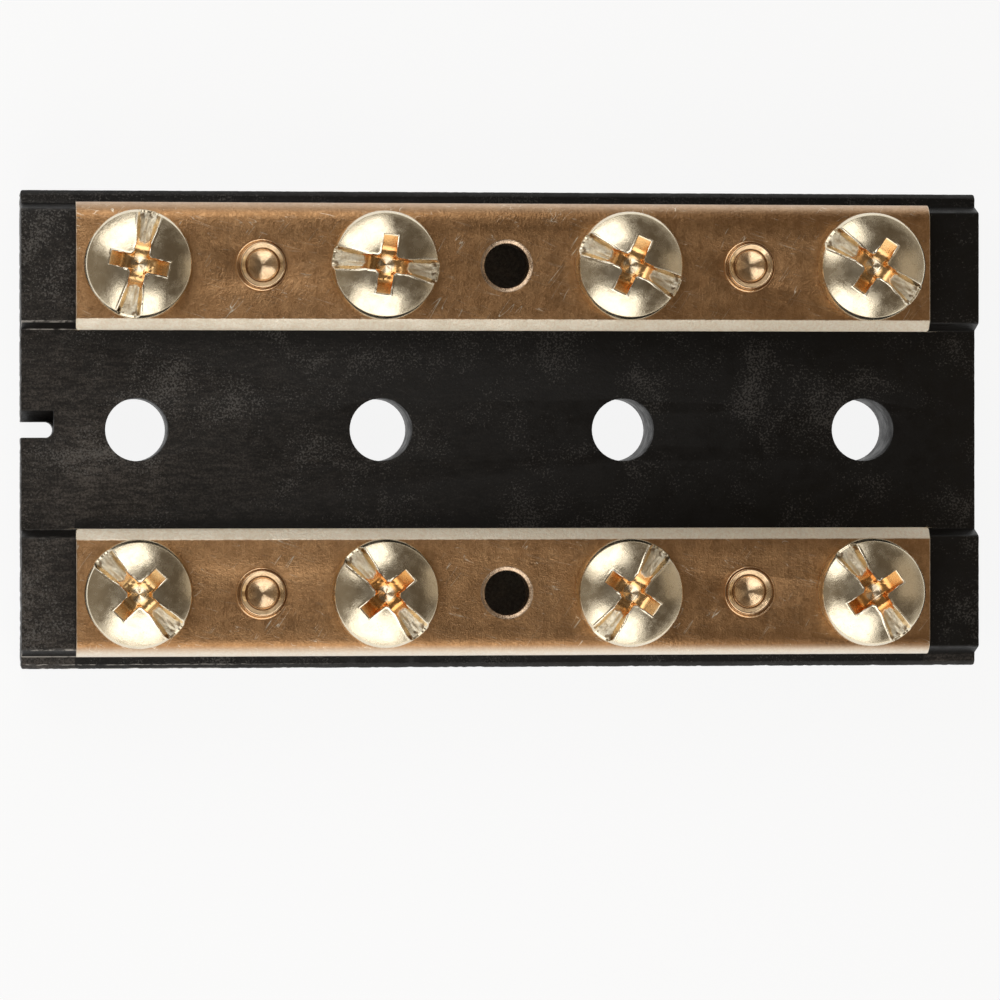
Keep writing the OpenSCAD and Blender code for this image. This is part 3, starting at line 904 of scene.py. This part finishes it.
def objectShape(tree, socket):
    return put(tree, "GeometryNodeObjectInfo", {"Object": socket}).outputs["Geometry"]


def markPoints(tree, geometry, name, value):
    inputs = {"Geometry": geometry, "Name": name, "Value": value}
    return put(tree, "GeometryNodeStoreNamedAttribute", inputs, data_type="FLOAT", domain="POINT").outputs[0]


# sets a shape down at its place, gives it its finish and ends the tree
def closeTree(tree, shape, given, out, turn=None):
    spot = put(tree, "GeometryNodePoints", {"Count": 1, "Position": given["Place"]}).outputs[0]
    inputs = {"Points": spot, "Instance": shape}
    if turn is not None:
        inputs["Rotation"] = turn
    placed = put(tree, "GeometryNodeInstanceOnPoints", inputs).outputs[0]
    real = put(tree, "GeometryNodeRealizeInstances", {0: placed}).outputs[0]
    done = put(tree, "GeometryNodeSetMaterial", {"Geometry": real, "Material": given["Finish"]}).outputs[0]
    tree.links.new(done, out[0])


def growMesh(tree, name, values):
    carrier = bpy.data.objects.new(name + "Carrier", bpy.data.meshes.new(name + "Carrier"))
    scene.collection.objects.link(carrier)
    grower = carrier.modifiers.new("grow", "NODES")
    grower.node_group = tree
    for item in tree.interface.items_tree:
        if item.in_out == "INPUT" and item.name in values:
            grower[item.identifier] = values[item.name]
    scene.view_layers.update()
    grown = bpy.data.meshes.new_from_object(carrier.evaluated_get(bpy.context.evaluated_depsgraph_get()))
    grown.name = name
    carrier.modifiers.remove(grower)
    bpy.data.objects.remove(carrier)
    return grown


# sets one screw down at its place, turned as it was left
def makeScrewTree():
    tree, given, out = newTree("setScrew", {"Screw": "Object", "Turn": "Float", "Tint": "Float"})
    tinted = markPoints(tree, objectShape(tree, given["Screw"]), "tint", given["Tint"])
    spin = put(tree, "ShaderNodeCombineXYZ", {2: given["Turn"]}).outputs[0]
    turn = put(tree, "FunctionNodeEulerToRotation", {0: spin}).outputs[0]
    closeTree(tree, tinted, given, out, turn)
    return tree


def makeScrews(form, turns, tints):
    pattern = bpy.data.objects.new("screwPattern", makeScrewMesh(form))
    scene.collection.objects.link(pattern)
    tree = makeScrewTree()
    for row, angles in turns.items():
        for number, (angle, tint) in enumerate(zip(angles, tints[row]), 1):
            node = f"{row}_screw_{number}"
            middle = middleOf(node)
            name = f"{row}Screw{number}"
            mesh = growMesh(tree, name, {
                "Screw": pattern, "Place": (middle.x, middle.y, barTop), "Turn": math.radians(angle),
                "Tint": tint, "Finish": plating})
            showPiece(name, mesh, None, node + "_body", node)
    bpy.data.objects.remove(pattern)


makeScrews(screwForm, screwTurns, screwTints)
print("screws made")


# a rivet is turned round a half section: lower head, shank, rolled lip, groove, bead, step and cup, in mm
rivetForm = {
    "shankR": 1.25, "footR": 2.3, "footLow": 0.6, "footHigh": 1.5, "footRound": 0.12,
    "lipR": 2.0, "lipRound": 0.075, "grooveR": 1.83, "grooveZ": 0.05, "grooveRound": 0.05,
    "crestR": 1.68, "crestRound": 0.07, "crestTop": 0.405, "slopeEnd": 1.36, "slope": 40,
    "stepR": 1.23, "stepZ": 0.15, "stepRound": 0.04, "stepFlare": (0.07, 0.05),
    "cupR": 1.14, "cupZ": 0.05, "cupDepth": 0.46,
    "segments": 120, "seam": 0.0005, "sharpest": 55,
}
# how far each rivet's cup was rolled off its axis, in mm
rivetShifts = {
    "back": {"left": (0.08, 0.0), "right": (0.07, 0.04)},
    "front": {"left": (0.05, 0.04), "right": (-0.05, 0.06)},
}


def arc(cx, cy, radius, start, stop, count):
    angles = np.radians(np.linspace(start, stop, count))
    return [(cx + radius * math.cos(a), cy + radius * math.sin(a)) for a in angles]


# points of the section: reach from the axis, share of the shift it takes part in, height
def rivetSection(form):
    top = barTop / mm
    soft, lip = form["footRound"], form["lipRound"]
    body = [(0, form["footLow"])]
    body += arc(form["footR"] - soft, form["footLow"] + soft, soft, -90, 0, 6)
    body += [(form["footR"], form["footHigh"]), (form["shankR"], form["footHigh"]), (form["shankR"], top)]
    head = arc(form["lipR"] - lip, top + lip, lip, -90, 90, 12)
    low = top + form["grooveZ"] + form["grooveRound"]
    head += arc(form["grooveR"], low, form["grooveRound"], 0, -180, 8)
    crest = top + form["crestTop"] - form["crestRound"]
    head += arc(form["crestR"], crest, form["crestRound"], -5, 90 + form["slope"], 14)
    startR, startZ = head[-1]
    for reach in np.linspace(startR, form["slopeEnd"], 9)[1:]:
        head.append((reach, startZ - (startR - reach) * math.tan(math.radians(form["slope"]))))
    flareR, flareZ = form["stepFlare"]
    step = top + form["stepZ"]
    head.append((form["stepR"] + flareR, step - flareZ))
    head += arc(form["stepR"], step - form["stepRound"], form["stepRound"], 40, 170, 6)
    for reach in np.linspace(form["cupR"], 0, 24):  # a shallow bowl
        head.append((reach, top + form["cupZ"] - form["cupDepth"] * (1 - (reach / form["cupR"]) ** 2)))
    outer, inner = form["lipR"] - lip, form["crestR"] + form["crestRound"]
    points = [(reach * mm, 0, height * mm) for reach, height in body]
    for reach, height in head:
        points.append((reach * mm, min(1, max(0, (outer - reach) / (outer - inner))), height * mm))
    return points


# turns the section round its axis, on a grid with one row of vertices for each of its points
def makeLatheTree():
    tree, given, out = newTree("turnRivet", {
        "Section": "Object", "Shift": "Vector", "Segments": "Int", "Steps": "Int", "Seam": "Float"})
    section = objectShape(tree, given["Section"])
    sheet = put(tree, "GeometryNodeMeshGrid", {
        "Size X": 1.0, "Size Y": 1.0, "Vertices X": given["Segments"], "Vertices Y": given["Steps"]}).outputs
    u, v = axes(tree, sheet["UV Map"])[:2]
    angle = product(tree, u, 2 * math.pi)
    row = calc(tree, "ROUND", product(tree, v, minus(tree, given["Steps"], 1.0)))
    point = put(tree, "GeometryNodeSampleIndex", {
        "Geometry": section, "Value": put(tree, "GeometryNodeInputPosition").outputs[0], "Index": row},
        data_type="FLOAT_VECTOR", domain="POINT").outputs[0]
    reach, share, height = axes(tree, point)
    circle = put(tree, "ShaderNodeCombineXYZ", {
        0: product(tree, reach, calc(tree, "COSINE", angle)),
        1: product(tree, reach, calc(tree, "SINE", angle)), 2: height}).outputs[0]
    shift = put(tree, "ShaderNodeVectorMath", {0: given["Shift"], "Scale": share}, operation="SCALE")
    turned = put(tree, "ShaderNodeVectorMath", {0: circle, 1: shift.outputs[0]}, operation="ADD").outputs[0]
    marked = markPoints(tree, sheet["Mesh"], "reach", reach)
    solid = put(tree, "GeometryNodeSetPosition", {"Geometry": marked, "Position": turned}).outputs[0]
    closed = put(tree, "GeometryNodeMergeByDistance", {"Geometry": solid, "Distance": given["Seam"]})
    closeTree(tree, closed.outputs[0], given, out)
    return tree


def makeRivets(form, shifts):
    line = bpy.data.meshes.new("rivetSection")
    points = rivetSection(form)
    line.from_pydata(points, [(k, k + 1) for k in range(len(points) - 1)], [])
    section = bpy.data.objects.new("rivetSection", line)
    scene.collection.objects.link(section)
    tree = makeLatheTree()
    for row, sides in shifts.items():
        for side, (shiftX, shiftY) in sides.items():
            node = f"{row}_rivet_{side}"
            middle = middleOf(node)
            name = f"{row}Rivet{side.title()}"
            mesh = growMesh(tree, name, {
                "Section": section, "Place": (middle.x, middle.y, 0), "Shift": (shiftX * mm, shiftY * mm, 0),
                "Segments": form["segments"], "Steps": len(points), "Seam": form["seam"] * mm,
                "Finish": copper})
            shape = bmesh.new()
            shape.from_mesh(mesh)
            bmesh.ops.dissolve_degenerate(shape, dist=edgeForm["merge"], edges=shape.edges)
            bmesh.ops.recalc_face_normals(shape, faces=shape.faces)
            closeShape(shape, mesh, form["sharpest"])
            showPiece(name, mesh, None, "block", node)
    bpy.data.objects.remove(section)


makeRivets(rivetForm, rivetShifts)
print("rivets made")


# floor, lamps and sky
floorLook = {"size": 4.0, "below": 0.05 * mm, "white": (0.92, 0.92, 0.915, 1), "rough": 0.9, "glow": 0.9}


def makeFloor(look):
    mesh = bpy.data.meshes.new("floor")
    half = look["size"] / 2
    corners = [(-half, -half, 0), (half, -half, 0), (half, half, 0), (-half, half, 0)]
    mesh.from_pydata(corners, [], [(0, 1, 2, 3)])
    floor = bpy.data.objects.new("floor", mesh)
    floor.location.z = -look["below"]
    scene.collection.objects.link(floor)
    constants = {"Base Color": look["white"], "Roughness": look["rough"]}
    finish, tree, shader = newFinish("paleFloor", constants)
    ray = put(tree, "ShaderNodeLightPath").outputs
    seen = calc(tree, "MAXIMUM", ray["Is Camera Ray"], ray["Is Glossy Ray"], ray["Is Transmission Ray"])
    glow = put(tree, "ShaderNodeEmission", {"Color": (1, 1, 1, 1), "Strength": 1.0}).outputs[0]
    inputs = {0: product(tree, seen, look["glow"]), 1: shader.outputs[0], 2: glow}
    both = put(tree, "ShaderNodeMixShader", inputs).outputs[0]
    tree.links.new(both, tree.nodes["Material Output"].inputs["Surface"])
    mesh.materials.append(finish)


lampRig = {
    # name: (place in mm, width and height in mm, colour, radiance at the middle)
    "backSoftbox": ((-56, 100, 110), (190, 115), (1, 0.985, 0.96), 1.82),
    "frontSoftbox": ((-25, -104, 102), (200, 125), (1, 0.985, 0.96), 1.75),
    "rightFill": ((80, 5, 48), (70, 45), (1, 0.86, 0.68), 0.3),
}
lampFade = 0.2  # how much of a lamp's width and height it takes to reach its full light


# each lamp is a cloth-fronted box, brightest at the middle and fading towards its edges
def makeLamps(rig):
    for name, (place, (width, height), colour, radiance) in rig.items():
        data = bpy.data.lights.new(name, "AREA")
        data.shape = "RECTANGLE"
        data.size, data.size_y = width * mm, height * mm
        data.color = colour
        data.energy = radiance * math.pi * data.size * data.size_y
        data.use_nodes = True
        tree = data.node_tree
        spot = axes(tree, put(tree, "ShaderNodeNewGeometry").outputs["Parametric"])
        inward = [minus(tree, 0.5, apart(tree, side, 0.5)) for side in spot[:2]]
        fade = product(tree, *(ramp(tree, share, 0.0, lampFade) for share in inward))
        tree.links.new(fade, tree.nodes["Emission"].inputs["Strength"])
        lamp = bpy.data.objects.new(name, data)
        lamp.location = Vector(place) * mm
        lamp.rotation_euler = (lamp.location - Vector((0, 0, barTop))).to_track_quat("Z", "Y").to_euler()
        lamp.visible_camera = False
        scene.collection.objects.link(lamp)


# the sky is dark at mid height, paler overhead and bright low down in front of and behind the object
skyLook = {
    "overhead": (0.155, 0.138, 0.12, 1),
    "middle": (0.095, 0.074, 0.053, 1),
    "middleLeft": (0.21, 0.175, 0.135, 1),
    "left": (0.14, 0.115, 0.09, 1),
    "right": (0.36, 0.32, 0.27, 1),
    "front": (1.35, 1.28, 1.18, 1),
    "back": (0.6, 0.56, 0.5, 1),
}


def makeSky(look):
    sky = bpy.data.worlds.new("studioSky")
    sky.use_nodes = True
    tree = sky.node_tree
    x, y, z = axes(tree, put(tree, "ShaderNodeTexCoord").outputs["Generated"])
    low = paint(tree, look, "left", ("right", ramp(tree, x, -0.6, 0.6)), ("back", ramp(tree, y, 0.1, 0.9)),
                ("front", ramp(tree, y, -0.9, -0.1, 1.0, 0.0)))
    middle = paint(tree, look, "middleLeft", ("middle", ramp(tree, x, -0.85, -0.35)))
    colour = paint(tree, look, low, (middle, ramp(tree, z, 0.1, 0.42)),
                   ("overhead", ramp(tree, z, 0.8, 0.97)))
    tree.links.new(colour, tree.nodes["Background"].inputs["Color"])
    scene.world = sky


makeFloor(floorLook)
makeLamps(lampRig)
makeSky(skyLook)
scene.view_settings.view_transform = "Standard"
print("floor and light made")
